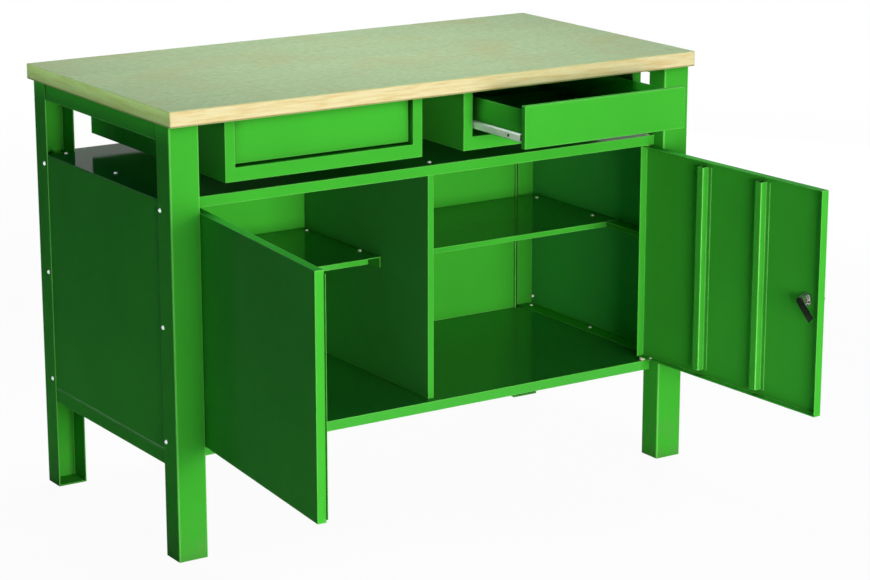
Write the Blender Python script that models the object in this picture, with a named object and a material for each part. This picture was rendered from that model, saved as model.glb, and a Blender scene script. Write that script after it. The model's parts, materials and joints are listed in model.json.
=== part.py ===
# Steel workbench with a cabinet: plywood top, two drawers in their own housings, two doors, shelves inside.
# Metres, +Z up, +X to the right seen from the front, +Y to the back.
# The origin is the middle of the worktop's upper face; heights below are counted from the floor.

import math

import bmesh
import bpy
from mathutils import Matrix, Vector

# Overall
BENCH_HEIGHT = 0.850
WORKTOP_WIDTH = 1.180
WORKTOP_DEPTH = 0.600
WORKTOP_THICKNESS = 0.030
WORKTOP_EDGE_ROUND = 0.0012
FIT_GAP = 0.0003

# Legs: U channels, open towards the middle of the bench
LEG_WIDTH = 0.060
LEG_DEPTH = 0.050
LEG_GAUGE = 0.002
LEG_BEND = 0.003
LEG_SIDE_INSET = 0.004
LEG_FRONT_INSET = 0.014
LEG_REAR_INSET = 0.020
FOOT_THICKNESS = 0.003

# Side rails: angles that tie a front leg to a rear leg
RAIL_GAUGE = 0.002
RAIL_BEND = 0.003
TOP_RAIL_HEIGHT = 0.032
TOP_RAIL_FLANGE = 0.030
BOTTOM_RAIL_HEIGHT = 0.027
BOTTOM_RAIL_FLANGE = 0.040
LEG_LAP = 0.019

# Deck over the cabinet and cabinet floor: folded sheets notched round the legs
DECK_HEIGHT = 0.679
FLOOR_HEIGHT = 0.207
SHEET_GAUGE = 0.0015
LIP_HEIGHT = 0.020
LIP_SETBACK = 0.030
REAR_LIP_SETBACK = 0.020
FOLD_CHAMFER = 0.0004

# Cabinet walls: shallow pans
SIDE_PANEL_GAUGE = 0.0012
SIDE_PANEL_RETURN = 0.040
BACK_PANEL_GAUGE = 0.0012
BACK_PANEL_RETURN = 0.015
BACK_PANEL_SETBACK = 0.005
PARTITION_GAUGE = 0.0012
PARTITION_THICKNESS = 0.0132

# Shelves and the angles under them
SHELF_HEIGHT = 0.4595
SHELF_FRONT_FROM_LEG = 0.216
SHELF_LIP = 0.011
SHELF_LIP_SETBACK = 0.033
SHELF_RELIEF = 0.002
SHELF_END_GAP = 0.0005
SHELF_BACK_GAP = 0.0025
SHELF_RAIL_FLANGE = 0.030
SHELF_RAIL_HEIGHT = 0.022
SHELF_RAIL_GAUGE = 0.0015
OUTER_RAIL_FRONT_GAP = 0.010
INNER_RAIL_BEHIND_LIP = 0.004

# Doors: pans that turn on upright pins
DOOR_THICKNESS = 0.017
DOOR_GAUGE = 0.001
DOOR_CHAMFER = 0.0004
DOOR_TOP_GAP = 0.003
DOOR_BOTTOM_GAP = 0.007
DOOR_MEETING_GAP = 0.003
PIVOT_TO_LEG = 0.0125
PIVOT_TO_EDGE = 0.008
LEFT_DOOR_OPEN = math.radians(95.0)
RIGHT_DOOR_OPEN = math.radians(93.0)
STIFFENER_FROM_PIVOT = (0.170, 0.337)
STIFFENER_CROWN = 0.018
STIFFENER_FOOT = 0.010
STIFFENER_DEPTH = 0.0145
STIFFENER_GAUGE = 0.001
STIFFENER_BEND = 0.0015
STIFFENER_END_GAP = 0.013
STRIP_WIDTH = 0.018
STRIP_OVERHANG = 0.004
STRIP_GAUGE = 0.001
STRIP_END_GAP = 0.006
STRIP_CLEARANCE = 0.0005

# Door pins and their bushes
PIN_RADIUS = 0.003
PIN_COLLAR_RADIUS = 0.006
PIN_COLLAR = 0.002
PIN_THROUGH = 0.002
BUSH_WALL = 0.0017
BUSH_RIM_RADIUS = 0.0065
BUSH_RIM = 0.002
BUSH_THROUGH = 0.0005

# Cam lock on the right door
LOCK_TO_EDGE = 0.045
LOCK_HEIGHT = 0.435
BARREL_RADIUS = 0.0095
BARREL_HEAD_RADIUS = 0.012
BARREL_HEAD = 0.003
LOCK_NUT_RADIUS = 0.0145
LOCK_NUT_THICKNESS = 0.005
PLUG_RADIUS = 0.005
KEY_GAUGE = 0.0022
KEY_SHANK_WIDTH = 0.008
KEY_SHANK = 0.015
KEY_BOW_RADIUS = 0.012
KEY_HOLE_RADIUS = 0.004
CAM_GAUGE = 0.003
CAM_WIDTH = 0.014
CAM_REACH = 0.045
CAM_CLEARANCE = 0.0005
LOCK_REST_TURN = math.radians(46.0)

# Drawer housings under the worktop
HOUSING_FROM_MIDDLE = 0.047
HOUSING_WIDTH = 0.423
HOUSING_HEIGHT = 0.116
HOUSING_DEPTH = 0.550
HOUSING_SETBACK = 0.020
HOUSING_GAUGE = 0.0012
HOUSING_STILE = 0.0205
HOUSING_BOTTOM_RAIL = 0.026

# Drawers
DRAWER_RECESS = 0.012
DRAWER_FRONT_THICKNESS = 0.012
DRAWER_FRONT_SIDE_GAP = 0.003
DRAWER_FRONT_BOTTOM_GAP = 0.004
DRAWER_FRONT_TOP_GAP = 0.005
DRAWER_GAUGE = 0.001
TRAY_LENGTH = 0.451
TRAY_WALL_HEIGHT = 0.063
TRAY_ABOVE_RAIL = 0.012
RIGHT_DRAWER_OUT = 0.182

# Drawer slides: a moving channel on the tray runs in a fixed channel on the housing
SLIDE_GAUGE = 0.0015
SLIDE_BEND = 0.002
MOVING_SLIDE_HEIGHT = 0.014
MOVING_SLIDE_WIDTH = 0.008
MOVING_SLIDE_LENGTH = 0.430
MOVING_SLIDE_ABOVE_TRAY = 0.003
MOVING_SLIDE_FRONT_GAP = 0.006
FIXED_SLIDE_LENGTH = 0.460
FIXED_SLIDE_FRONT_GAP = 0.006
SLIDE_TOP_CLEARANCE = 0.001
SLIDE_TRAY_CLEARANCE = 0.002

# Facets round a circle and along a bend
ROUND_STEPS = 20
BOW_STEPS = 16
HEX_STEPS = 6
BEND_STEPS = 3

# Places worked out from the sizes above
WORKTOP_UNDERSIDE = BENCH_HEIGHT - WORKTOP_THICKNESS
LEG_TOP = WORKTOP_UNDERSIDE - FIT_GAP
LEG_OUTER_X = WORKTOP_WIDTH / 2 - LEG_SIDE_INSET
LEG_INNER_X = LEG_OUTER_X - LEG_WIDTH
LEG_FRONT_Y = -WORKTOP_DEPTH / 2 + LEG_FRONT_INSET
LEG_REAR_Y = WORKTOP_DEPTH / 2 - LEG_REAR_INSET
FRONT_FLANGE_Y = LEG_FRONT_Y + LEG_DEPTH
REAR_FLANGE_Y = LEG_REAR_Y - LEG_DEPTH
WALL_OUTER_X = LEG_OUTER_X - LEG_GAUGE - FIT_GAP
WALL_INNER_X = WALL_OUTER_X - SIDE_PANEL_GAUGE
WALL_FRONT_Y = FRONT_FLANGE_Y - LEG_LAP
WALL_REAR_Y = REAR_FLANGE_Y + LEG_LAP
LIP_FRONT_Y = LEG_FRONT_Y + LIP_SETBACK
LIP_REAR_Y = LEG_REAR_Y - REAR_LIP_SETBACK
CABINET_BOTTOM = FLOOR_HEIGHT + FIT_GAP
CABINET_TOP = DECK_HEIGHT - SHEET_GAUGE - FIT_GAP
BACK_PANEL_Y = REAR_FLANGE_Y + BACK_PANEL_SETBACK

PIVOT_X = LEG_INNER_X - PIVOT_TO_LEG
PIVOT_Y = LIP_FRONT_Y + DOOR_THICKNESS / 2
DOOR_REACH = PIVOT_X - DOOR_MEETING_GAP / 2
DOOR_BOTTOM = FLOOR_HEIGHT + DOOR_BOTTOM_GAP
DOOR_TOP = DECK_HEIGHT - LIP_HEIGHT - DOOR_TOP_GAP
DOOR_BACK = DOOR_THICKNESS / 2
STRIP_BACK = DOOR_BACK + FIT_GAP + STRIP_GAUGE
PARTITION_FRONT_Y = PIVOT_Y + STRIP_BACK + STRIP_CLEARANCE
PARTITION_REAR_Y = BACK_PANEL_Y - FIT_GAP
CAM_FRONT = PARTITION_FRONT_Y + PARTITION_GAUGE - PIVOT_Y + CAM_CLEARANCE

HOUSING_FRONT_Y = -WORKTOP_DEPTH / 2 + HOUSING_SETBACK
HOUSING_CENTRE_X = HOUSING_FROM_MIDDLE + HOUSING_WIDTH / 2
HOUSING_BOTTOM = WORKTOP_UNDERSIDE - HOUSING_HEIGHT
DRAWER_OPENING_HALF = HOUSING_WIDTH / 2 - HOUSING_STILE
DRAWER_FRONT_Y = HOUSING_FRONT_Y + DRAWER_RECESS
TRAY_FRONT_Y = DRAWER_FRONT_Y + DRAWER_GAUGE + FIT_GAP
SLIDE_FRONT_Y = DRAWER_FRONT_Y + DRAWER_FRONT_THICKNESS + FIT_GAP
TRAY_BOTTOM = HOUSING_BOTTOM + HOUSING_BOTTOM_RAIL + TRAY_ABOVE_RAIL
MOVING_SLIDE_HALF = DRAWER_OPENING_HALF - DRAWER_FRONT_SIDE_GAP
TRAY_HALF = MOVING_SLIDE_HALF - MOVING_SLIDE_WIDTH - FIT_GAP
SLIDE_BOTTOM = TRAY_BOTTOM + MOVING_SLIDE_ABOVE_TRAY


# Materials

def make_material(name, colour, roughness, metallic):
    material = bpy.data.materials.new(name)
    material.use_nodes = True
    shader = material.node_tree.nodes["Principled BSDF"]
    shader.inputs["Base Color"].default_value = (*colour, 1.0)
    shader.inputs["Roughness"].default_value = roughness
    shader.inputs["Metallic"].default_value = metallic
    material.diffuse_color = (*colour, 1.0)
    return material


def make_materials():
    return {
        "green_paint": make_material("green_paint", (0.050, 0.440, 0.022), 0.32, 0.0),
        "plywood": make_material("plywood", (0.720, 0.560, 0.300), 0.55, 0.0),
        "zinc": make_material("zinc", (0.620, 0.640, 0.620), 0.35, 1.0),
        "key_steel": make_material("key_steel", (0.420, 0.430, 0.420), 0.30, 1.0),
        "bush_plastic": make_material("bush_plastic", (0.780, 0.770, 0.700), 0.50, 0.0),
    }


# Shape builders; every builder returns a placed object

def place(name, mesh_data, material, parent):
    mesh = bpy.data.meshes.new(name)
    mesh_data.to_mesh(mesh)
    mesh_data.free()
    mesh.materials.append(material)
    piece = bpy.data.objects.new(name, mesh)
    bpy.context.collection.objects.link(piece)
    piece.parent = parent
    return piece


def add_empty(name, parent, location, turn=0.0):
    empty = bpy.data.objects.new(name, None)
    bpy.context.collection.objects.link(empty)
    empty.parent = parent
    empty.location = location
    empty.rotation_euler = (0.0, 0.0, turn)
    return empty


def add_bevel(piece, width):
    bevel = piece.modifiers.new("edge_round", "BEVEL")
    bevel.width = width
    bevel.segments = 1
    bevel.limit_method = "ANGLE"
    bevel.angle_limit = math.radians(40)


def cuboid(low, high):
    shape = bmesh.new()
    bmesh.ops.create_cube(shape, size=1.0)
    size = Vector(high) - Vector(low)
    middle = (Vector(high) + Vector(low)) / 2
    bmesh.ops.scale(shape, vec=size, verts=shape.verts)
    bmesh.ops.translate(shape, vec=middle, verts=shape.verts)
    return shape


def block(name, low, high, material, parent):
    return place(name, cuboid(low, high), material, parent)


# A tray-like pan: one side of a block is inset by the sheet's gauge and pushed in
def pan(name, low, high, open_side, gauge, material, parent):
    shape = cuboid(low, high)
    direction = Vector(open_side)
    shape.normal_update()
    mouth = max(shape.faces, key=lambda face: face.normal.dot(direction))
    span = abs((Vector(high) - Vector(low)).dot(direction))
    bmesh.ops.inset_region(shape, faces=[mouth], thickness=gauge, use_even_offset=True)
    pushed = bmesh.ops.extrude_discrete_faces(shape, faces=[mouth])["faces"][0]
    bmesh.ops.translate(shape, vec=-direction * (span - gauge), verts=pushed.verts)
    bmesh.ops.recalc_face_normals(shape, faces=shape.faces)
    return place(name, shape, material, parent)


# A closed outline in the plane across an axis, drawn out along that axis
def drawn(name, outline, axis, start, end, material, parent):
    across = {"X": lambda a, b: (start, a, b), "Y": lambda a, b: (a, start, b), "Z": lambda a, b: (a, b, start)}
    along = {"X": (1, 0, 0), "Y": (0, 1, 0), "Z": (0, 0, 1)}
    shape = bmesh.new()
    corners = [shape.verts.new(across[axis](a, b)) for a, b in outline]
    base = shape.faces.new(corners)
    top = bmesh.ops.extrude_face_region(shape, geom=[base])["geom"]
    moved = [part for part in top if isinstance(part, bmesh.types.BMVert)]
    bmesh.ops.translate(shape, vec=Vector(along[axis]) * (end - start), verts=moved)
    bmesh.ops.recalc_face_normals(shape, faces=shape.faces)
    return place(name, shape, material, parent)


# The outline of a folded strip: its outer line, the sheet's gauge towards the left of the line, round bends
def folded_outline(line, gauge, bend):
    points = [Vector(point) for point in line]
    outer = [points[0]]
    inner = [points[0] + left_of(points[1] - points[0]) * gauge]
    for before, corner, after in zip(points, points[1:], points[2:]):
        run_in = (corner - before).normalized()
        run_out = (after - corner).normalized()
        turns_left = run_in.cross(run_out) > 0
        outer_radius = bend if turns_left else bend - gauge
        inner_radius = bend - gauge if turns_left else bend
        centre = corner + (left_of(run_in) + left_of(run_out)) * (bend if turns_left else gauge - bend)
        for step in range(BEND_STEPS + 1):
            angle = math.pi / 2 * step / BEND_STEPS
            spoke = -left_of(run_in) * math.cos(angle) + run_in * math.sin(angle)
            if not turns_left:
                spoke = left_of(run_in) * math.cos(angle) + run_in * math.sin(angle)
            outer.append(centre + spoke * outer_radius)
            inner.append(centre + spoke * inner_radius)
    outer.append(points[-1])
    inner.append(points[-1] + left_of(points[-1] - points[-2]) * gauge)
    return outer + inner[::-1]


def left_of(direction):
    unit = direction.normalized()
    return Vector((-unit.y, unit.x))


# A sheet folded from flat faces that share edges, with its gauge laid towards the inside
def folded_sheet(name, faces, gauge, material, parent):
    shape = bmesh.new()
    for face in faces:
        shape.faces.new([shape.verts.new(point) for point in face])
    bmesh.ops.remove_doubles(shape, verts=shape.verts, dist=1e-5)
    sheet = place(name, shape, material, parent)
    solid = sheet.modifiers.new("gauge", "SOLIDIFY")
    solid.thickness = gauge
    solid.offset = -1.0
    solid.use_even_offset = True
    solid.use_quality_normals = True
    return sheet


# A turned piece: an outline of (radius, height) points spun about its axis
def turned(name, outline, material, parent, steps=ROUND_STEPS, frame=None):
    shape = bmesh.new()
    corners = [shape.verts.new((radius, 0.0, height)) for radius, height in outline]
    loop = [shape.edges.new(pair) for pair in zip(corners, corners[1:] + corners[:1])]
    bmesh.ops.spin(shape, geom=corners + loop, cent=(0, 0, 0), axis=(0, 0, 1), angle=2 * math.pi,
                   steps=steps, use_merge=True)
    bmesh.ops.remove_doubles(shape, verts=shape.verts, dist=1e-6)
    loose = [edge for edge in shape.edges if not edge.link_faces]
    bmesh.ops.delete(shape, geom=loose, context="EDGES")
    bmesh.ops.recalc_face_normals(shape, faces=shape.faces)
    if frame is not None:
        bmesh.ops.transform(shape, matrix=frame, verts=shape.verts)
    piece = place(name, shape, material, parent)
    piece.data.shade_smooth()
    piece.data.set_sharp_from_angle(angle=math.radians(40))
    return piece


def cut(piece, cutter):
    cutter.hide_render = True
    cutter.display_type = "WIRE"
    boolean = piece.modifiers.new("hole", "BOOLEAN")
    boolean.operation = "DIFFERENCE"
    boolean.solver = "EXACT"
    boolean.object = cutter


def mirrored(points, side):
    turned_points = [(side * x, y) for x, y in points]
    return turned_points if side > 0 else turned_points[::-1]


def span(a, b):
    return min(a, b), max(a, b)


# Frame

def build_legs(bench, materials):
    half_width = LEG_WIDTH / 2
    half_depth = LEG_DEPTH / 2
    channel = folded_outline(
        [(-half_width, half_depth), (-half_width, -half_depth), (half_width, -half_depth), (half_width, half_depth)],
        LEG_GAUGE, LEG_BEND)
    inside = half_width - LEG_GAUGE - FIT_GAP
    web_inside = -half_depth + LEG_GAUGE + FIT_GAP
    for row, middle_y, turn in (("front", LEG_FRONT_Y + half_depth, 0.0), ("rear", LEG_REAR_Y - half_depth, math.pi)):
        for side_name, side in (("left", -1), ("right", 1)):
            spot = (side * (LEG_OUTER_X - half_width), middle_y, 0.0)
            leg = drawn(f"{row}_{side_name}_leg", channel, "Z", 0.0, LEG_TOP, materials["green_paint"], bench)
            foot = block(f"{row}_{side_name}_foot", (-inside, web_inside, 0.0), (inside, half_depth, FOOT_THICKNESS),
                         materials["green_paint"], bench)
            for piece in (leg, foot):
                piece.location = spot
                piece.rotation_euler = (0.0, 0.0, turn)


def build_rails(bench, materials):
    for side_name, side in (("left", -1), ("right", 1)):
        outer = side * WALL_OUTER_X
        top = LEG_TOP
        line = [(outer, top - TOP_RAIL_HEIGHT), (outer, top), (outer - side * TOP_RAIL_FLANGE, top)]
        add_rail(f"{side_name}_top_rail", line, side, bench, materials)
        top = FLOOR_HEIGHT - SHEET_GAUGE - FIT_GAP
        line = [(outer, top - BOTTOM_RAIL_HEIGHT), (outer, top), (outer - side * BOTTOM_RAIL_FLANGE, top)]
        add_rail(f"{side_name}_bottom_rail", line, side, bench, materials)


def add_rail(name, line, side, bench, materials):
    ordered = line if side > 0 else line[::-1]
    drawn(name, folded_outline(ordered, RAIL_GAUGE, RAIL_BEND), "Y", WALL_FRONT_Y, WALL_REAR_Y,
          materials["green_paint"], bench)


def build_worktop(bench, materials):
    half = (WORKTOP_WIDTH / 2, WORKTOP_DEPTH / 2)
    worktop = block("worktop", (-half[0], -half[1], WORKTOP_UNDERSIDE), (half[0], half[1], BENCH_HEIGHT),
                    materials["plywood"], bench)
    add_bevel(worktop, WORKTOP_EDGE_ROUND)


# Deck and floor share one outline: full width between the legs' rows, narrower where it passes the legs
def add_deck_sheet(name, top, pivot_cutters, bench, materials):
    inner = LEG_INNER_X - FIT_GAP
    outer = WALL_OUTER_X
    front_notch = FRONT_FLANGE_Y + FIT_GAP
    rear_notch = REAR_FLANGE_Y - FIT_GAP
    right_half = [(inner, LIP_FRONT_Y), (inner, front_notch), (outer, front_notch), (outer, rear_notch),
                  (inner, rear_notch), (inner, LIP_REAR_Y)]
    outline = right_half + [(-x, y) for x, y in right_half[::-1]]
    low = top - LIP_HEIGHT
    faces = [
        [(x, y, top) for x, y in outline],
        [(-inner, LIP_FRONT_Y, low), (inner, LIP_FRONT_Y, low), (inner, LIP_FRONT_Y, top), (-inner, LIP_FRONT_Y, top)],
        [(inner, LIP_REAR_Y, low), (-inner, LIP_REAR_Y, low), (-inner, LIP_REAR_Y, top), (inner, LIP_REAR_Y, top)],
    ]
    sheet = folded_sheet(name, faces, SHEET_GAUGE, materials["green_paint"], bench)
    add_bevel(sheet, FOLD_CHAMFER)
    for cutter in pivot_cutters:
        cut(sheet, cutter)


def build_cabinet(bench, materials):
    hole = PIN_RADIUS + FIT_GAP + BUSH_WALL + FIT_GAP
    low = FLOOR_HEIGHT - LIP_HEIGHT
    high = DECK_HEIGHT + LIP_HEIGHT
    cutters = [
        turned(f"{name}_pivot_cutter", [(0, low), (hole, low), (hole, high), (0, high)], materials["zinc"], bench,
               frame=Matrix.Translation((side * PIVOT_X, PIVOT_Y, 0)))
        for name, side in (("left", -1), ("right", 1))]
    add_deck_sheet("deck", DECK_HEIGHT, cutters, bench, materials)
    add_deck_sheet("cabinet_floor", FLOOR_HEIGHT, cutters, bench, materials)
    for side_name, side in (("left", -1), ("right", 1)):
        x_low, x_high = span(side * WALL_OUTER_X, side * (WALL_OUTER_X - SIDE_PANEL_RETURN))
        pan(f"{side_name}_side_panel", (x_low, WALL_FRONT_Y, CABINET_BOTTOM), (x_high, WALL_REAR_Y, CABINET_TOP),
            (-side, 0, 0), SIDE_PANEL_GAUGE, materials["green_paint"], bench)
    half = LEG_INNER_X - FIT_GAP
    pan("back_panel", (-half, BACK_PANEL_Y, CABINET_BOTTOM),
        (half, BACK_PANEL_Y + BACK_PANEL_RETURN, CABINET_TOP), (0, 1, 0), BACK_PANEL_GAUGE,
        materials["green_paint"], bench)
    half = PARTITION_THICKNESS / 2
    pan("partition", (-half, PARTITION_FRONT_Y, CABINET_BOTTOM), (half, PARTITION_REAR_Y, CABINET_TOP),
        (1, 0, 0), PARTITION_GAUGE, materials["green_paint"], bench)


# Each shelf lies on two angles: one on the side panel and one on the partition
def build_shelves(bench, materials):
    shelf_front = LEG_FRONT_Y + SHELF_FRONT_FROM_LEG
    shelf_rear = BACK_PANEL_Y - SHELF_BACK_GAP
    rear_notch = REAR_FLANGE_Y - FIT_GAP
    partition_face = {-1: -PARTITION_THICKNESS / 2, 1: -PARTITION_THICKNESS / 2 + PARTITION_GAUGE}
    for side_name, side in (("left", -1), ("right", 1)):
        inner_wall = side * partition_face[side]
        near = inner_wall + SHELF_END_GAP
        far = WALL_INNER_X - SHELF_END_GAP
        notch = LEG_INNER_X - FIT_GAP
        lip_near = near + SHELF_LIP_SETBACK
        lip_far = far - SHELF_LIP_SETBACK
        end_front = shelf_front + SHELF_RELIEF
        outline = mirrored(
            [(near, end_front), (lip_near, end_front), (lip_near, shelf_front), (lip_far, shelf_front),
             (lip_far, end_front), (far, end_front), (far, rear_notch), (notch, rear_notch), (notch, shelf_rear),
             (near, shelf_rear)], side)
        lip_left, lip_right = span(side * lip_near, side * lip_far)
        low = SHELF_HEIGHT - SHELF_LIP
        faces = [
            [(x, y, SHELF_HEIGHT) for x, y in outline],
            [(lip_left, shelf_front, low), (lip_right, shelf_front, low),
             (lip_right, shelf_front, SHELF_HEIGHT), (lip_left, shelf_front, SHELF_HEIGHT)],
        ]
        folded_sheet(f"{side_name}_shelf", faces, SHEET_GAUGE, materials["green_paint"], bench)
        add_shelf_rail(f"{side_name}_outer_shelf_rail", side * (WALL_INNER_X - FIT_GAP), -side,
                       FRONT_FLANGE_Y + OUTER_RAIL_FRONT_GAP, bench, materials)
        add_shelf_rail(f"{side_name}_inner_shelf_rail", side * (inner_wall + FIT_GAP), side,
                       end_front + INNER_RAIL_BEHIND_LIP, bench, materials)


def add_shelf_rail(name, wall_x, inward, front, bench, materials):
    top = SHELF_HEIGHT - SHEET_GAUGE - FIT_GAP
    line = [(wall_x, top - SHELF_RAIL_HEIGHT), (wall_x, top), (wall_x + inward * SHELF_RAIL_FLANGE, top)]
    ordered = line if inward < 0 else line[::-1]
    drawn(name, folded_outline(ordered, SHELF_RAIL_GAUGE, RAIL_BEND), "Y", front, REAR_FLANGE_Y - FIT_GAP,
          materials["green_paint"], bench)


# Doors, modelled closed round their pivot and turned open by the empty that carries them

def build_bushes(bench, materials):
    bore = PIN_RADIUS + FIT_GAP
    sleeve = bore + BUSH_WALL
    rest = DOOR_BOTTOM - FIT_GAP - PIN_COLLAR - FIT_GAP
    above = [(bore, DECK_HEIGHT + BUSH_THROUGH), (bore, CABINET_TOP - BUSH_RIM), (BUSH_RIM_RADIUS, CABINET_TOP - BUSH_RIM),
             (BUSH_RIM_RADIUS, CABINET_TOP), (sleeve, CABINET_TOP), (sleeve, DECK_HEIGHT + BUSH_THROUGH)]
    under = FLOOR_HEIGHT - SHEET_GAUGE - BUSH_THROUGH
    below = [(bore, rest), (bore, under), (sleeve, under), (sleeve, CABINET_BOTTOM),
             (BUSH_RIM_RADIUS, CABINET_BOTTOM), (BUSH_RIM_RADIUS, rest)]
    for side_name, side in (("left", -1), ("right", 1)):
        frame = Matrix.Translation((side * PIVOT_X, PIVOT_Y, 0.0))
        turned(f"{side_name}_upper_hinge_bush", above, materials["bush_plastic"], bench, frame=frame)
        turned(f"{side_name}_lower_hinge_bush", below, materials["bush_plastic"], bench, frame=frame)


def build_door(side_name, side, angle, bench, materials):
    pivot = add_empty(f"{side_name}_door_pivot", bench, (side * PIVOT_X, PIVOT_Y, 0.0), side * angle)
    x_low, x_high = span(side * PIVOT_TO_EDGE, -side * DOOR_REACH)
    front = -DOOR_THICKNESS / 2
    door = pan(f"{side_name}_door", (x_low, front, DOOR_BOTTOM), (x_high, DOOR_BACK, DOOR_TOP), (0, 1, 0),
               DOOR_GAUGE, materials["green_paint"], pivot)
    add_bevel(door, DOOR_CHAMFER)
    add_stiffeners(side_name, side, pivot, materials)
    add_pins(side_name, pivot, materials)
    return pivot, door


def add_stiffeners(side_name, side, pivot, materials):
    seat = -DOOR_THICKNESS / 2 + DOOR_GAUGE + FIT_GAP
    half = STIFFENER_CROWN / 2
    wide = half + STIFFENER_FOOT
    crown = seat + STIFFENER_DEPTH
    under_foot = seat + STIFFENER_GAUGE
    hat = folded_outline(
        [(wide, under_foot), (half, under_foot), (half, crown), (-half, crown), (-half, under_foot), (-wide, under_foot)],
        STIFFENER_GAUGE, STIFFENER_BEND)
    for place_name, reach in zip(("near", "far"), STIFFENER_FROM_PIVOT):
        outline = [(x - side * reach, y) for x, y in hat]
        drawn(f"{side_name}_door_{place_name}_stiffener", outline, "Z", DOOR_BOTTOM + STIFFENER_END_GAP,
              DOOR_TOP - STIFFENER_END_GAP, materials["green_paint"], pivot)


def add_pins(side_name, pivot, materials):
    seat = DOOR_TOP + FIT_GAP
    collar = seat + PIN_COLLAR
    tip = DECK_HEIGHT + PIN_THROUGH
    turned(f"{side_name}_door_upper_pin",
           [(0, seat), (PIN_COLLAR_RADIUS, seat), (PIN_COLLAR_RADIUS, collar), (PIN_RADIUS, collar), (PIN_RADIUS, tip),
            (0, tip)], materials["green_paint"], pivot)
    seat = DOOR_BOTTOM - FIT_GAP
    collar = seat - PIN_COLLAR
    tip = FLOOR_HEIGHT - SHEET_GAUGE - PIN_THROUGH
    turned(f"{side_name}_door_lower_pin",
           [(0, seat), (PIN_COLLAR_RADIUS, seat), (PIN_COLLAR_RADIUS, collar), (PIN_RADIUS, collar), (PIN_RADIUS, tip),
            (0, tip)], materials["zinc"], pivot)


# A flat strip behind the left door's free edge covers the gap between the doors
def build_closing_strip(pivot, materials):
    far = DOOR_REACH + STRIP_OVERHANG
    block("left_door_closing_strip", (far - STRIP_WIDTH, DOOR_BACK + FIT_GAP, DOOR_BOTTOM + STRIP_END_GAP),
          (far, STRIP_BACK, DOOR_TOP - STRIP_END_GAP), materials["green_paint"], pivot)


# The lock's axis runs through the door's skin; its frame has local Z pointing out of the door
def build_lock(door_pivot, door, materials):
    skin_out = -DOOR_THICKNESS / 2
    axis = add_empty("lock_axis", door_pivot, (-DOOR_REACH + LOCK_TO_EDGE, 0.0, LOCK_HEIGHT))
    axis.rotation_euler = (0.0, LOCK_REST_TURN, 0.0)
    outward = Matrix.Rotation(math.pi / 2, 4, "X")
    head_in = -skin_out + FIT_GAP
    head_out = head_in + BARREL_HEAD
    barrel_end = -CAM_FRONT + FIT_GAP
    bore = PLUG_RADIUS + FIT_GAP
    turned("lock_barrel",
           [(bore, head_out), (bore, barrel_end), (BARREL_RADIUS, barrel_end), (BARREL_RADIUS, head_in),
            (BARREL_HEAD_RADIUS, head_in), (BARREL_HEAD_RADIUS, head_out)], materials["key_steel"], axis, frame=outward)
    turned("lock_plug", [(0, barrel_end), (PLUG_RADIUS, barrel_end), (PLUG_RADIUS, head_out), (0, head_out)],
           materials["key_steel"], axis, frame=outward)
    nut_bore = (BARREL_RADIUS + FIT_GAP) / math.cos(math.pi / HEX_STEPS)
    nut_seat = -skin_out - DOOR_GAUGE - FIT_GAP
    nut_end = nut_seat - LOCK_NUT_THICKNESS
    turned("lock_nut", [(nut_bore, nut_seat), (nut_bore, nut_end), (LOCK_NUT_RADIUS, nut_end),
                        (LOCK_NUT_RADIUS, nut_seat)], materials["key_steel"], axis, steps=HEX_STEPS, frame=outward)
    clear = BARREL_RADIUS + FIT_GAP
    cutter = turned("lock_cutter", [(0, nut_seat), (clear, nut_seat), (clear, head_out), (0, head_out)],
                    materials["zinc"], axis, frame=outward)
    cut(door, cutter)
    build_key(axis, -(head_out + FIT_GAP), materials)
    build_cam(axis, materials)


# The key lies in the lock's upright plane: a shank out of the plug and a round bow
def build_key(axis, shoulder, materials):
    half = KEY_SHANK_WIDTH / 2
    bow_y = shoulder - KEY_SHANK - KEY_BOW_RADIUS
    open_angle = math.asin(half / KEY_BOW_RADIUS)
    outline = [(shoulder, -half), (shoulder, half)]
    for step in range(BOW_STEPS + 1):
        angle = open_angle + (2 * math.pi - 2 * open_angle) * step / BOW_STEPS
        outline.append((bow_y + KEY_BOW_RADIUS * math.cos(angle), KEY_BOW_RADIUS * math.sin(angle)))
    key = drawn("lock_key", outline, "X", -KEY_GAUGE / 2, KEY_GAUGE / 2, materials["key_steel"], axis)
    hole = turned("key_hole_cutter", [(0, -KEY_GAUGE), (KEY_HOLE_RADIUS, -KEY_GAUGE), (KEY_HOLE_RADIUS, KEY_GAUGE),
                                      (0, KEY_GAUGE)], materials["zinc"], axis,
                  frame=Matrix.Translation((0, bow_y, 0)) @ Matrix.Rotation(math.pi / 2, 4, "Y"))
    cut(key, hole)


# The cam hangs down when the lock is open and swings behind the partition's front edge when it is shut;
# at rest it stands between the two
def build_cam(axis, materials):
    half = CAM_WIDTH / 2
    outline = []
    for step in range(BOW_STEPS // 2 + 1):
        angle = math.pi * step / (BOW_STEPS // 2)
        outline.append((half * math.cos(angle), half * math.sin(angle)))
    outline += [(-half, -CAM_REACH), (half, -CAM_REACH)]
    drawn("lock_cam", outline, "Y", CAM_FRONT, CAM_FRONT + CAM_GAUGE, materials["key_steel"], axis)


# Drawer housings and drawers

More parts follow.
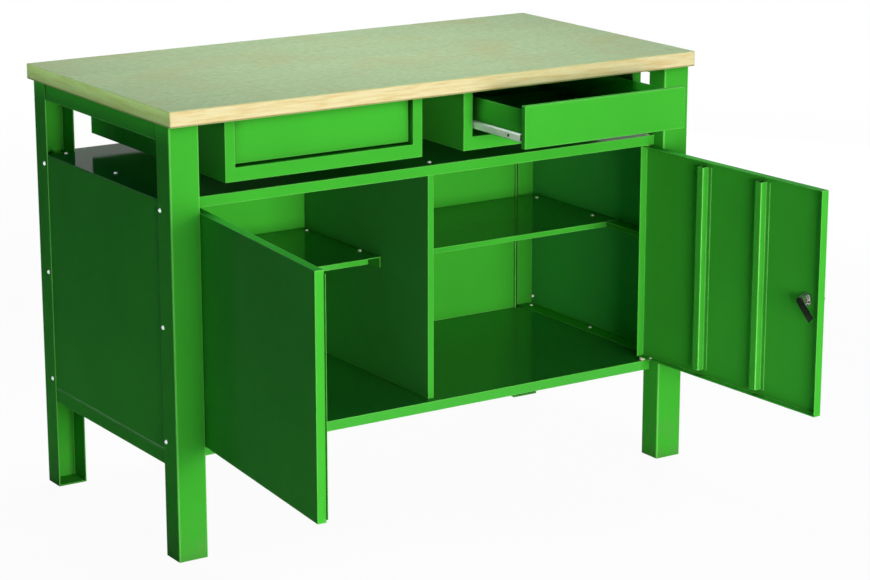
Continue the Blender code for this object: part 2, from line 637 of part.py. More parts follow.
def build_housing(side_name, side, bench, materials):
    middle = side * HOUSING_CENTRE_X
    left = middle - HOUSING_WIDTH / 2
    right = middle + HOUSING_WIDTH / 2
    front = HOUSING_FRONT_Y
    rear = HOUSING_FRONT_Y + HOUSING_DEPTH
    low = HOUSING_BOTTOM
    high = LEG_TOP
    rail_top = low + HOUSING_BOTTOM_RAIL
    left_stile = left + HOUSING_STILE
    right_stile = right - HOUSING_STILE
    frame = [(left, low), (right, low), (right, high), (right_stile, high), (right_stile, rail_top),
             (left_stile, rail_top), (left_stile, high), (left, high)]
    faces = [
        [(x, front, z) for x, z in frame],
        [(left, rear, low), (left, front, low), (left, front, high), (left, rear, high)],
        [(right, front, low), (right, rear, low), (right, rear, high), (right, front, high)],
        [(left, front, high), (left_stile, front, high), (left_stile, rear, high), (left, rear, high)],
        [(right_stile, front, high), (right, front, high), (right, rear, high), (right_stile, rear, high)],
        [(right, rear, low), (left, rear, low), (left, rear, high), (left_stile, rear, high),
         (right_stile, rear, high), (right, rear, high)],
    ]
    housing = folded_sheet(f"{side_name}_drawer_housing", faces, HOUSING_GAUGE, materials["green_paint"], bench)
    add_bevel(housing, FOLD_CHAMFER)
    add_fixed_slides(side_name, middle, bench, materials)


def add_fixed_slides(side_name, middle, bench, materials):
    wall = HOUSING_WIDTH / 2 - HOUSING_GAUGE - FIT_GAP
    edge = TRAY_HALF + SLIDE_TRAY_CLEARANCE
    low = SLIDE_BOTTOM - FIT_GAP - SLIDE_GAUGE
    high = SLIDE_BOTTOM + MOVING_SLIDE_HEIGHT + SLIDE_TOP_CLEARANCE + SLIDE_GAUGE
    start = SLIDE_FRONT_Y + FIXED_SLIDE_FRONT_GAP
    for hand_name, hand in (("left", -1), ("right", 1)):
        line = [(middle + hand * x, z) for x, z in ((edge, low), (wall, low), (wall, high), (edge, high))]
        ordered = line if hand > 0 else line[::-1]
        drawn(f"{side_name}_housing_{hand_name}_slide", folded_outline(ordered, SLIDE_GAUGE, SLIDE_BEND), "Y",
              start, start + FIXED_SLIDE_LENGTH, materials["zinc"], bench)


# The tray's front wall is screwed to the back of the drawer front's skin
def build_drawer(side_name, side, out, bench, materials):
    carrier = add_empty(f"{side_name}_drawer_slide", bench, (side * HOUSING_CENTRE_X, -out, 0.0))
    half = DRAWER_OPENING_HALF - DRAWER_FRONT_SIDE_GAP
    low = HOUSING_BOTTOM + HOUSING_BOTTOM_RAIL + DRAWER_FRONT_BOTTOM_GAP
    high = WORKTOP_UNDERSIDE - DRAWER_FRONT_TOP_GAP
    front = pan(f"{side_name}_drawer_front", (-half, DRAWER_FRONT_Y, low),
                (half, DRAWER_FRONT_Y + DRAWER_FRONT_THICKNESS, high), (0, 1, 0), DRAWER_GAUGE,
                materials["green_paint"], carrier)
    add_bevel(front, DOOR_CHAMFER)
    pan(f"{side_name}_drawer_tray", (-TRAY_HALF, TRAY_FRONT_Y, TRAY_BOTTOM),
        (TRAY_HALF, TRAY_FRONT_Y + TRAY_LENGTH, TRAY_BOTTOM + TRAY_WALL_HEIGHT), (0, 0, 1), DRAWER_GAUGE,
        materials["green_paint"], carrier)
    near = TRAY_HALF + FIT_GAP
    start = SLIDE_FRONT_Y + MOVING_SLIDE_FRONT_GAP
    for hand_name, hand in (("left", -1), ("right", 1)):
        line = [(hand * x, z) for x, z in (
            (near, SLIDE_BOTTOM), (MOVING_SLIDE_HALF, SLIDE_BOTTOM),
            (MOVING_SLIDE_HALF, SLIDE_BOTTOM + MOVING_SLIDE_HEIGHT), (near, SLIDE_BOTTOM + MOVING_SLIDE_HEIGHT))]
        ordered = line if hand > 0 else line[::-1]
        drawn(f"{side_name}_drawer_{hand_name}_slide", folded_outline(ordered, SLIDE_GAUGE, SLIDE_BEND), "Y",
              start, start + MOVING_SLIDE_LENGTH, materials["zinc"], carrier)


def main():
    for old in list(bpy.data.objects):
        bpy.data.objects.remove(old, do_unlink=True)
    materials = make_materials()
    bench = add_empty("bench", None, (0.0, 0.0, -BENCH_HEIGHT))
    build_worktop(bench, materials)
    build_legs(bench, materials)
    build_rails(bench, materials)
    build_cabinet(bench, materials)
    build_shelves(bench, materials)
    build_bushes(bench, materials)
    left_pivot, _ = build_door("left", -1, LEFT_DOOR_OPEN, bench, materials)
    build_closing_strip(left_pivot, materials)
    right_pivot, right_door = build_door("right", 1, RIGHT_DOOR_OPEN, bench, materials)
    build_lock(right_pivot, right_door, materials)
    for side_name, side, out in (("left", -1, 0.0), ("right", 1, RIGHT_DRAWER_OUT)):
        build_housing(side_name, side, bench, materials)
        build_drawer(side_name, side, out, bench, materials)


main()
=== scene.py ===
import json
import math

import bpy
import numpy as np
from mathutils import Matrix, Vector


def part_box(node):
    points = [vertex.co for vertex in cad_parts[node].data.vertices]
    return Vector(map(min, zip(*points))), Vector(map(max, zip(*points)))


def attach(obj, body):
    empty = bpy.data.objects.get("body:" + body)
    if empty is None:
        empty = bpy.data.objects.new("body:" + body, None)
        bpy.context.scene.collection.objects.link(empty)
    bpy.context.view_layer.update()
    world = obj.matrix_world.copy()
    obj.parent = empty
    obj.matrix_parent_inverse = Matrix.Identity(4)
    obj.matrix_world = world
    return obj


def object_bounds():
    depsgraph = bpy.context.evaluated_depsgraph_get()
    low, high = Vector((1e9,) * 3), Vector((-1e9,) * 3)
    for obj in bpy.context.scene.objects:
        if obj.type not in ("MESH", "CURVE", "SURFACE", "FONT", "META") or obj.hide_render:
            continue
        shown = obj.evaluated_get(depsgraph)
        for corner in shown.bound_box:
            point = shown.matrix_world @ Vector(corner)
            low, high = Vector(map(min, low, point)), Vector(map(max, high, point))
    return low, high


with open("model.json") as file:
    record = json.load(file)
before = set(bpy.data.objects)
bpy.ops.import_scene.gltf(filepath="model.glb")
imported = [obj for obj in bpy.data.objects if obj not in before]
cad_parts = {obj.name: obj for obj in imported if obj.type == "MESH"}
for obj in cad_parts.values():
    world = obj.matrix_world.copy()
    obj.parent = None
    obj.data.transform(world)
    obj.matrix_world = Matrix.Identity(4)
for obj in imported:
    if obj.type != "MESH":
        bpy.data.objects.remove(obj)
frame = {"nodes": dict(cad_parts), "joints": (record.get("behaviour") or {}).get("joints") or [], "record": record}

nodes = frame["nodes"]
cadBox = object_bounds()
scene = bpy.context.scene
floorLevel = cadBox[0].z
print("frame loaded:", len(nodes), "nodes")


# camera from the left front, well above the worktop
cameraLook = {"place": (-2.6907, -4.3721, 0.8789), "turnRight": 33.146, "lookDown": 14.783,
              "lens": 108.75, "sensor": 36.0}


def addCamera(look):
    lens = bpy.data.cameras.new("camera")
    lens.lens = look["lens"]
    lens.sensor_width = look["sensor"]
    camera = bpy.data.objects.new("camera", lens)
    camera.location = look["place"]
    camera.rotation_euler = (math.radians(90 - look["lookDown"]), 0.0, -math.radians(look["turnRight"]))
    scene.collection.objects.link(camera)
    scene.camera = camera


addCamera(cameraLook)


# small helpers for shader trees
softSamples = 6  # rays that feel for edges and corners


def startMaterial(name):
    material = bpy.data.materials.new(name)
    material.use_nodes = True
    return material, material.node_tree, material.node_tree.nodes["Principled BSDF"]


def feed(tree, value, socket):
    if isinstance(value, bpy.types.NodeSocket):
        tree.links.new(value, socket)
    else:
        socket.default_value = value


def addNode(tree, kind, sockets=None, **settings):
    node = tree.nodes.new("ShaderNode" + kind)
    for key, value in settings.items():
        setattr(node, key, value)
    for key, value in (sockets or {}).items():
        feed(tree, value, node.inputs[key])
    return node


def remap(tree, value, low, high, toLow=0.0, toHigh=1.0):
    return addNode(tree, "MapRange", {0: value, 1: low, 2: high, 3: toLow, 4: toHigh}).outputs[0]


def sums(tree, operation, a, b):
    return addNode(tree, "Math", {0: a, 1: b}, operation=operation).outputs[0]


def blendColour(tree, share, a, b):
    pads = [(*c, 1.0) if isinstance(c, tuple) else c for c in (a, b)]
    return addNode(tree, "Mix", {0: share, 6: pads[0], 7: pads[1]}, data_type="RGBA").outputs[2]


# a noise's numbers stand in the look as scale, detail, roughness and stretch
def noise(tree, place, scale, detail=3.0, rough=0.5, stretch=None):
    if stretch:
        place = addNode(tree, "Mapping", {"Vector": place, "Scale": stretch}).outputs[0]
    sockets = {"Vector": place, "Scale": scale, "Detail": detail, "Roughness": rough}
    return addNode(tree, "TexNoise", sockets).outputs[0]


# the rounded normal at an edge, and its dot product with the flat one: 1 on a face, less near an edge
def roundEdges(tree, radius):
    rounded = addNode(tree, "Bevel", {"Radius": radius}, samples=softSamples).outputs[0]
    flat = addNode(tree, "NewGeometry").outputs["True Normal"]
    turned = addNode(tree, "VectorMath", {0: rounded, 1: flat}, operation="DOT_PRODUCT").outputs["Value"]
    return rounded, turned


# relief is the bump's strength and its depth
def addBump(tree, shader, relief, height, **sockets):
    strength, deep = relief
    bump = addNode(tree, "Bump", {"Strength": strength, "Distance": deep, "Height": height, **sockets})
    feed(tree, bump.outputs[0], shader.inputs["Normal"])


# sprayed enamel: slow tone drift, a painted highlight on folds and edges broken up by noise, dust low down,
# faint scratches, fine orange peel, and painted shade in the corners, most of all under the worktop; a span is
# where a share starts and where it is full
paintLook = {"colour": (0.052, 0.460, 0.043), "deep": (0.044, 0.405, 0.037),
             "drift": (2.6, 4.0), "driftSpan": (0.35, 0.65),
             "dust": (0.110, 0.330, 0.090), "dustHigh": 0.10, "dustShare": 0.55,
             "dustPatch": (22.0, 5.0, 0.6), "dustSpan": (0.42, 0.62),
             "scratch": (0.110, 0.520, 0.080), "scratchShare": 0.18,
             "scratchGrain": (1.0, 2.0, 0.4, (9.0, 9.0, 420.0)), "scratchSpan": (0.66, 0.72),
             "scratchPatch": (7.0, 2.0), "scratchPatchSpan": (0.52, 0.66),
             # painted shade for the faces that look into the cabinet
             "inside": (0.047, 0.290, 0.066), "insideShadeShare": 0.0,
             "insideShadeSpan": (0.2, 0.1), "uprightSpan": (0.6, 0.8),
             # painted shade for the faces that look up
             "topShade": (0.016, 0.195, 0.034), "topShadeShare": 0.0, "topShadeSpan": (0.8, 0.95),
             "topShadePatchSpan": (0.2, 0.6), "topShadePatchShare": (0.8, 1.0),
             # painted highlight: the colour and shares that lighten edges and bends
             "edge": (0.165, 0.720, 0.145), "rounding": 0.0032, "highlightEdgeSpan": (0.985, 0.86),
             "highlightBendSpan": (0.985, 0.955), "highlightPatch": 16.0, "highlightPatchSpan": (0.3, 0.6), "highlightPatchShare": (0.70, 0.95),
             # painted shade in corners and most of all just under the worktop
             "cornerShade": (0.012, 0.090, 0.010), "cornerShadeWide": 0.030, "cornerShadeSpan": (0.90, 0.40),
             "cornerShadeShare": (0.20, 1.0), "overhang": (-0.16, -0.06),
             "smear": (9.0, 5.0, 0.65), "smearSpan": (0.3, 0.7), "rough": (0.08, 0.18), "gloss": 0.002,
             "peel": (520.0, 2.0), "relief": (0.05, 0.0006)}
# the sheets that lie flat shine more and take a painted shade, in patches, on the faces that look up; the deck,
# out in the open, has dulled, and takes the same painted shade
flatLook = {**paintLook, "rough": (0.05, 0.11), "gloss": 0.18, "topShadeShare": 0.85}
deckLook = {**flatLook, "gloss": 0.012}
flatSheets = ("cabinet_floor", "left_shelf", "right_shelf")
# upright sheets take a darker, bluer painted shade on the faces that look into the cabinet, the right one the
# least
shadedWallLook = {**paintLook, "insideShadeShare": 0.9}
walls = ("left_side_panel", "partition")
shadedRightWallLook = {**shadedWallLook, "inside": (0.052, 0.420, 0.088)}
# the bends of the stiffeners and of the rear legs take a brighter painted highlight
ribHighlightLook = {**paintLook, "edge": (0.260, 0.900, 0.240)}
ribs = tuple(name for name in nodes if name.endswith("_stiffener")) + ("rear_left_leg", "rear_right_leg")


def makePaint(name, look):
    material, tree, shader = startMaterial(name)
    coordinates = addNode(tree, "TexCoord").outputs
    place = coordinates["Object"]
    spot = addNode(tree, "SeparateXYZ", {0: place}).outputs
    facing = addNode(tree, "SeparateXYZ", {0: coordinates["Normal"]}).outputs
    squareTo = addNode(tree, "VectorMath", {0: coordinates["Normal"]}, operation="ABSOLUTE").outputs[0]
    squareTo = addNode(tree, "SeparateXYZ", {0: squareTo}).outputs
    drift = noise(tree, place, *look["drift"])
    colour = blendColour(tree, remap(tree, drift, *look["driftSpan"]), look["deep"], look["colour"])
    low = remap(tree, spot["Z"], floorLevel + look["dustHigh"], floorLevel, 0.0, look["dustShare"])
    patch = remap(tree, noise(tree, place, *look["dustPatch"]), *look["dustSpan"])
    colour = blendColour(tree, sums(tree, "MULTIPLY", low, patch), colour, look["dust"])
    scored = noise(tree, place, *look["scratchGrain"])
    scored = remap(tree, scored, *look["scratchSpan"], 0.0, look["scratchShare"])
    patch = remap(tree, noise(tree, place, *look["scratchPatch"]), *look["scratchPatchSpan"])
    colour = blendColour(tree, sums(tree, "MULTIPLY", scored, patch), colour, look["scratch"])
    # only the outer faces of the side panels look away from the middle of the bench; the other faces take the
    # painted shade
    inner = remap(tree, sums(tree, "MULTIPLY", spot["X"], facing["X"]), *look["insideShadeSpan"])
    inner = sums(tree, "MULTIPLY", inner, remap(tree, squareTo["X"], *look["uprightSpan"]))
    inner = sums(tree, "MULTIPLY", inner, look["insideShadeShare"])
    colour = blendColour(tree, inner, colour, look["inside"])
    # painted shade: faces that look up are darkened in patches
    topShaded = remap(tree, facing["Z"], *look["topShadeSpan"], 0.0, look["topShadeShare"])
    topShaded = sums(tree, "MULTIPLY", topShaded, remap(tree, drift, *look["topShadePatchSpan"], *look["topShadePatchShare"]))
    colour = blendColour(tree, topShaded, colour, look["topShade"])
    # painted highlight on edges and bends, broken up by noise: a bent strip faces between the axes, a flat face
    # along one of them
    rounded, turned = roundEdges(tree, look["rounding"])
    squarest = sums(tree, "MAXIMUM", sums(tree, "MAXIMUM", squareTo["X"], squareTo["Y"]), squareTo["Z"])
    edge = remap(tree, turned, *look["highlightEdgeSpan"])
    edge = sums(tree, "MAXIMUM", edge, remap(tree, squarest, *look["highlightBendSpan"]))
    highlightPatch = remap(tree, noise(tree, place, look["highlightPatch"]), *look["highlightPatchSpan"], *look["highlightPatchShare"])
    colour = blendColour(tree, sums(tree, "MULTIPLY", edge, highlightPatch), colour, look["edge"])
    # painted shade: darker where nearby parts close the surface in, most of all just under the worktop
    openness = addNode(tree, "AmbientOcclusion", {"Distance": look["cornerShadeWide"]}, samples=softSamples)
    cornerShaded = remap(tree, spot["Z"], *look["overhang"], *look["cornerShadeShare"])
    cornerShaded = sums(tree, "MULTIPLY", cornerShaded, remap(tree, openness.outputs["AO"], *look["cornerShadeSpan"]))
    colour = blendColour(tree, cornerShaded, colour, look["cornerShade"])
    feed(tree, colour, shader.inputs["Base Color"])
    smear = noise(tree, place, *look["smear"])
    feed(tree, remap(tree, smear, *look["smearSpan"], *look["rough"]), shader.inputs["Roughness"])
    shader.inputs["Specular IOR Level"].default_value = look["gloss"]
    addBump(tree, shader, look["relief"], noise(tree, place, *look["peel"]), Normal=rounded)
    return material


# birch plywood: mottled grain on the faces, blotched plies on the edges, told apart by the face's direction, with
# a greener painted tint on the ends;
# a darker rim at every edge, partly wear and partly painted shade, and a dark line of painted shade along the
# lower edge
boardLook = {"face": (0.497, 0.627, 0.358), "faceDark": (0.364, 0.482, 0.247),
             "streak": (1.0, 6.0, 0.62, (8.0, 75.0, 30.0)), "wide": (1.0, 3.0, 0.5, (2.0, 9.0, 9.0)),
             "mottle": (1.0, 4.0, 0.7, (60.0, 130.0, 90.0)),
             "grainShares": (0.16, 0.26, 0.58), "grainSpan": (0.40, 0.60),
             "stain": (0.462, 0.454, 0.210), "blot": (5.5, 5.0, 0.6),
             "blotSpan": (0.48, 0.70), "blotShare": 0.55,
             "pale": (0.730, 0.705, 0.515), "brown": (0.630, 0.520, 0.280),
             # the ends take a greener copy of the edge colours, a painted tint for the light on the ends
             "endTintPale": (0.690, 0.760, 0.410), "endTintBrown": (0.615, 0.620, 0.260),
             "ply": 0.0023, "warp": (1.0, 2.0, 0.5, (6.0, 6.0, 60.0)), "warpDeep": 0.0012,
             "plySpan": (0.30, 0.75), "fibre": (1.0, 5.0, 0.6, (40.0, 40.0, 900.0)),
             "fibreSpan": (0.30, 0.60), "fibreShare": (0.05, 0.40),
             "blotch": (1.0, 4.0, 0.6, (13.0, 13.0, 150.0)),
             "blotchSpan": (0.40, 0.64), "blotchShare": 0.85, "sideSpan": (0.45, 0.75),
             # painted shade: a dark line along the lower edge
             "lowEdgeShade": (0.150, 0.140, 0.035), "lowEdgeShadeFrom": (-0.0262, -0.0285), "lowEdgeShadeShare": 0.85,
             # a darker rim at every edge: partly wear, partly painted shade
             "rim": (0.300, 0.240, 0.085), "rimWide": 0.0034, "rimSpan": (0.98, 0.86),
             "rimPatchSpan": (0.35, 0.6), "rimPatchShare": (0.30, 0.75),
             "roughSpan": (0.3, 0.7), "rough": (0.44, 0.62), "gloss": 0.03,
             "plyRelief": 0.4, "relief": (0.25, 0.0004)}


def makeBoard(name, look):
    material, tree, shader = startMaterial(name)
    place = addNode(tree, "TexCoord").outputs["Object"]
    height = addNode(tree, "SeparateXYZ", {0: place}).outputs["Z"]
    kinds = [noise(tree, place, *look[kind]) for kind in ("streak", "wide", "mottle")]
    streak, wide, mottle = kinds
    parts = [sums(tree, "MULTIPLY", kind, share) for kind, share in zip(kinds, look["grainShares"])]
    grain = sums(tree, "ADD", sums(tree, "ADD", parts[0], parts[1]), parts[2])
    face = blendColour(tree, remap(tree, grain, *look["grainSpan"]), look["faceDark"], look["face"])
    blot = remap(tree, noise(tree, place, *look["blot"]), *look["blotSpan"], 0.0, look["blotShare"])
    face = blendColour(tree, blot, face, look["stain"])
    # plies: the height, slightly warped, runs to and fro between 0 and 1 once in each pair of layers
    warp = sums(tree, "MULTIPLY", noise(tree, place, *look["warp"]), look["warpDeep"])
    layer = sums(tree, "DIVIDE", sums(tree, "ADD", height, warp), look["ply"])
    layer = sums(tree, "PINGPONG", layer, 1.0)
    fibre = remap(tree, noise(tree, place, *look["fibre"]), *look["fibreSpan"], *look["fibreShare"])
    lines = sums(tree, "MULTIPLY", remap(tree, layer, *look["plySpan"]), fibre)
    blotch = remap(tree, noise(tree, place, *look["blotch"]), *look["blotchSpan"], 0.0, look["blotchShare"])
    share = sums(tree, "MAXIMUM", lines, blotch)
    facing = addNode(tree, "SeparateXYZ", {0: addNode(tree, "NewGeometry").outputs["Normal"]}).outputs
    # the ends take the greener painted tint
    end = remap(tree, sums(tree, "ABSOLUTE", facing["X"], 0.0), *look["sideSpan"])
    edge = blendColour(tree, end, blendColour(tree, share, look["pale"], look["brown"]),
                       blendColour(tree, share, look["endTintPale"], look["endTintBrown"]))
    # painted shade: a dark line along the lower edge
    lowEdgeShaded = remap(tree, height, *look["lowEdgeShadeFrom"], 0.0, look["lowEdgeShadeShare"])
    edge = blendColour(tree, lowEdgeShaded, edge, look["lowEdgeShade"])
    top = remap(tree, sums(tree, "ABSOLUTE", facing["Z"], 0.0), *look["sideSpan"])
    colour = blendColour(tree, top, edge, face)
    # darker rim at every edge, partly wear and partly painted shade
    turned = roundEdges(tree, look["rimWide"])[1]
    rimPatch = remap(tree, mottle, *look["rimPatchSpan"], *look["rimPatchShare"])
    rimWearAndShade = sums(tree, "MULTIPLY", remap(tree, turned, *look["rimSpan"]), rimPatch)
    colour = blendColour(tree, rimWearAndShade, colour, look["rim"])
    feed(tree, colour, shader.inputs["Base Color"])
    feed(tree, remap(tree, wide, *look["roughSpan"], *look["rough"]), shader.inputs["Roughness"])
    shader.inputs["Specular IOR Level"].default_value = look["gloss"]
    raised = sums(tree, "ADD", streak, sums(tree, "MULTIPLY", layer, look["plyRelief"]))
    addBump(tree, shader, look["relief"], raised)
    return material


# plated metal: crystal patches in tone and roughness, fine rolling lines
metalLook = {"cloud": 30.0, "toneShares": (0.5, 0.5), "toneSpan": (0.25, 0.75), "roughSpan": (0.2, 0.8),
             "rolled": (1.0, 3.0, 0.5, (900.0, 60.0, 900.0)), "relief": (0.08, 0.0003)}
zincLook = {**metalLook, "light": (0.900, 0.960, 0.985), "dark": (0.840, 0.900, 0.920), "patch": 90.0,
            "rough": (0.70, 0.56), "metal": 0.85}
steelLook = {**metalLook, "light": (0.860, 0.890, 0.870), "dark": (0.520, 0.550, 0.530), "patch": 60.0,
             "rough": (0.22, 0.10), "metal": 0.9}
blackenedLook = {**metalLook, "light": (0.040, 0.044, 0.042), "dark": (0.018, 0.021, 0.020), "patch": 120.0,
                 "rough": (0.30, 0.18), "metal": 0.7}


def makeMetal(name, look):
    material, tree, shader = startMaterial(name)
    place = addNode(tree, "TexCoord").outputs["Object"]
    cell = addNode(tree, "TexVoronoi", {"Vector": place, "Scale": look["patch"]})
    crystal = addNode(tree, "SeparateColor", {0: cell.outputs["Color"]}).outputs[0]
    crystalShare, cloudShare = look["toneShares"]
    cloud = sums(tree, "MULTIPLY", noise(tree, place, look["cloud"]), cloudShare)
    tone = sums(tree, "ADD", sums(tree, "MULTIPLY", crystal, crystalShare), cloud)
    colour = blendColour(tree, remap(tree, tone, *look["toneSpan"]), look["dark"], look["light"])
    feed(tree, colour, shader.inputs["Base Color"])
    feed(tree, remap(tree, tone, *look["roughSpan"], *look["rough"]), shader.inputs["Roughness"])
    shader.inputs["Metallic"].default_value = look["metal"]
    addBump(tree, shader, look["relief"], noise(tree, place, *look["rolled"]))
    return material


# natural plastic: a fine speckle in tone, roughness and relief
plasticLook = {"light": (0.760, 0.800, 0.700), "dark": (0.640, 0.680, 0.580),
               "speck": (300.0, 4.0), "toneSpan": (0.3, 0.7), "roughSpan": (0.2, 0.8),
               "rough": (0.35, 0.55), "relief": (0.12, 0.0003)}


def makePlastic(name, look):
    material, tree, shader = startMaterial(name)
    place = addNode(tree, "TexCoord").outputs["Object"]
    speck = noise(tree, place, *look["speck"])
    colour = blendColour(tree, remap(tree, speck, *look["toneSpan"]), look["dark"], look["light"])
    feed(tree, colour, shader.inputs["Base Color"])
    feed(tree, remap(tree, speck, *look["roughSpan"], *look["rough"]), shader.inputs["Roughness"])
    addBump(tree, shader, look["relief"], speck)
    return material


finishes = {"green_paint": makePaint("greenEnamel", paintLook),
            "plywood": makeBoard("birchPlywood", boardLook),
            "zinc": makeMetal("zincPlate", zincLook),
            "key_steel": makeMetal("lockSteel", steelLook),
            "bush_plastic": makePlastic("naturalNylon", plasticLook)}
blackened = makeMetal("blackenedSteel", blackenedLook)
# nodes whose finish differs from that of their slot
nodeFinishes = {**dict.fromkeys(flatSheets, makePaint("flatSheetShadedEnamel", flatLook)),
                **dict.fromkeys(walls, makePaint("wallShadedEnamel", shadedWallLook)),
                **dict.fromkeys(ribs, makePaint("ribHighlightEnamel", ribHighlightLook)),
                "right_side_panel": makePaint("rightWallShadedEnamel", shadedRightWallLook),
                "deck": makePaint("deckShadedEnamel", deckLook),
                "lock_cam": blackened}
for entry in frame["record"]["subparts"]:
    slots = nodes[entry["node"]].data.materials
    slots.clear()
    slots.append(nodeFinishes.get(entry["node"], finishes[entry["material_slot"]]))


# quads between closed rings of points that follow one another: corner c of a ring meets corner c of the next
def ringQuads(rings, columns):
    row = np.arange(rings - 1)[:, None] * columns
    column = np.arange(columns)
    after = (column + 1) % columns
    corners = [row + column, row + after, row + columns + after, row + columns + column]
    return np.stack(corners, -1).reshape(-1, 4)


# rings about the local Z axis, at a turn t and radius r: x = r cos t, y = r sin t, z = the ring's height;
# the first and the last ring are closed by a fan to a point on the axis
def ringBody(radii, heights, turns):
    columns = turns.shape[-1]
    levels = np.broadcast_to(heights, radii.shape)
    rings = np.stack([radii * np.cos(turns), radii * np.sin(turns), levels], -1)
    points = np.concatenate([rings.reshape(-1, 3), [[0, 0, heights[0, 0]], [0, 0, heights[-1, 0]]]])
    first, last = len(points) - 2, len(points) - 1
    column = np.arange(columns)
    after = (column + 1) % columns
    rim = (len(radii) - 1) * columns
    bottom = np.stack([np.full(columns, first), after, column], -1)
    top = np.stack([np.full(columns, last), rim + column, rim + after], -1)
    return points, ringQuads(len(radii), columns), np.concatenate([bottom, top])


# copies of one body at many spots, its local Z laid along the given direction
def spread(body, spots, direction):
    points, quads, fans = body
    z = np.array(direction, float) / np.linalg.norm(direction)
    x = np.cross([0.0, 1.0, 0.0] if abs(z[1]) < 0.9 else [1.0, 0.0, 0.0], z)  # any axis well off z will do
    x /= np.linalg.norm(x)
    turned = points @ np.stack([x, np.cross(z, x), z])
    spots = np.array(spots, float)
    step = (np.arange(len(spots)) * len(points))[:, None, None]
    placed = (turned[None] + spots[:, None]).reshape(-1, 3)
    return placed, (quads[None] + step).reshape(-1, 4), (fans[None] + step).reshape(-1, 3)


# one mesh of several bodies, shaded smooth but for folds past the sharp angle
def putPiece(name, groups, finish, body, sharp=35.0):
    offsets = np.cumsum([0] + [len(g[0]) for g in groups[:-1]])
    points = np.concatenate([g[0] for g in groups])
    faces = [f for g, o in zip(groups, offsets) for part in g[1:] for f in (part + o).tolist()]
    mesh = bpy.data.meshes.new(name)
    mesh.from_pydata(points.tolist(), [], faces)
    mesh.shade_smooth()
    mesh.set_sharp_from_angle(angle=math.radians(sharp))
    mesh.materials.append(finish)
    piece = bpy.data.objects.new(name, mesh)
    scene.collection.objects.link(piece)
    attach(piece, body)


# six flats about a circle of radius 1, which they touch: 1 / cos(turn from the middle of a flat)
def sixSided(turns):
    return 1.0 / np.cos(turns % (math.pi / 3) - math.pi / 6)


# button head on a washer: the profile climbs the washer's turned edges, swells over the dome as a quarter
# ellipse and drops into a six-sided socket, whose corners lie on its radius
boltLook = {"washer": 0.0042, "washerThick": 0.0007, "chamfer": 0.0003, "head": 0.0034, "headHigh": 0.0020,
            "socket": 0.0015, "socketDeep": 0.0011, "crown": 1.35, "turns": 24, "dome": 5}


def boltBody(look):
    turns = np.linspace(0, 2 * math.pi, look["turns"], endpoint=False)[None]
    swell = np.linspace(0, math.pi / 2, look["dome"])
    crown = look["socket"] * look["crown"]  # the flat round the socket
    domeRadius = crown + (look["head"] - crown) * np.cos(swell)
    domeHeight = look["washerThick"] + look["headHigh"] * np.sin(swell)
    washer, thick, chamfer = look["washer"], look["washerThick"], look["chamfer"]
    top = domeHeight[-1]
    radius = np.concatenate([[washer - chamfer, washer, washer, washer - chamfer, look["head"]], domeRadius,
                             [look["socket"], look["socket"]]])
    height = np.concatenate([[0.0, chamfer, thick - chamfer, thick, thick], domeHeight,
                             [top, top - look["socketDeep"]]])
    inSocket = (np.arange(len(radius)) >= len(radius) - 2)[:, None]
    socketShape = math.cos(math.pi / 6) * sixSided(turns)
    radii = radius[:, None] * np.where(inSocket, socketShape, 1.0)
    return ringBody(radii, height[:, None], turns)


# six-sided nut with its corners turned off and the bolt's end standing out of it: each ring's radius is a
# share of half the width across flats, and its corners say how far it is six-sided instead of round
nutLook = {"across": 0.0036, "thick": 0.0030, "boltOut": 0.0020, "turns": 24,
           "rings": (0.97, 1.0, 1.0, 0.95, 0.62, 0.56, 0.54, 0.46),
           "corners": (1.0, 1.0, 1.0, 0.35, 0.0, 0.0, 0.0, 0.0), "shoulder": 0.86, "boltShoulder": 0.8}


def nutBody(look):
    turns = np.linspace(0, 2 * math.pi, look["turns"], endpoint=False)[None]
    thick, boltOut = look["thick"], look["boltOut"]
    height = np.array([0.0, 0.0, thick * look["shoulder"], thick, thick, thick,
                       thick + boltOut * look["boltShoulder"], thick + boltOut])[:, None]
    radius = np.array(look["rings"])[:, None] * look["across"]
    corners = np.array(look["corners"])[:, None]
    return ringBody(radius * (1.0 + (sixSided(turns) - 1.0) * corners), height, turns)


# bolts hold the side panels and the back panel to the legs, nuts stand on the far side
legBoltLook = {"frontY": -0.245, "rearY": 0.2415, "heights": (0.661, 0.4425, 0.224), "gauge": 0.0035,
               "backY": 0.2435, "backHeights": (0.640, 0.4425, 0.245), "backGauge": 0.0012,
               "legGauge": 0.0020}


def addLegBolts(look):
    bolt, nut = boltBody(boltLook), nutBody(nutLook)
    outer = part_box("front_right_leg")[1].x
    inner = outer - look["gauge"]
    rows = [(y, floorLevel + z) for y in (look["frontY"], look["rearY"]) for z in look["heights"]]
    heads = []
    nuts = []
    for side in (-1, 1):
        heads.append(spread(bolt, [(side * outer, y, z) for y, z in rows], (side, 0, 0)))
        nuts.append(spread(nut, [(side * inner, y, z) for y, z in rows], (-side, 0, 0)))
    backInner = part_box("back_panel")[1].x - look["backGauge"]
    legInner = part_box("rear_right_leg")[0].x + look["legGauge"]
    rows = [(look["backY"], floorLevel + z) for z in look["backHeights"]]
    for side in (-1, 1):
        heads.append(spread(bolt, [(side * backInner, y, z) for y, z in rows], (-side, 0, 0)))
        nuts.append(spread(nut, [(side * legInner, y, z) for y, z in rows], (side, 0, 0)))
    putPiece("leg_bolts", heads, finishes["zinc"], "bench")
    putPiece("leg_nuts", nuts, finishes["zinc"], "bench")


addLegBolts(legBoltLook)


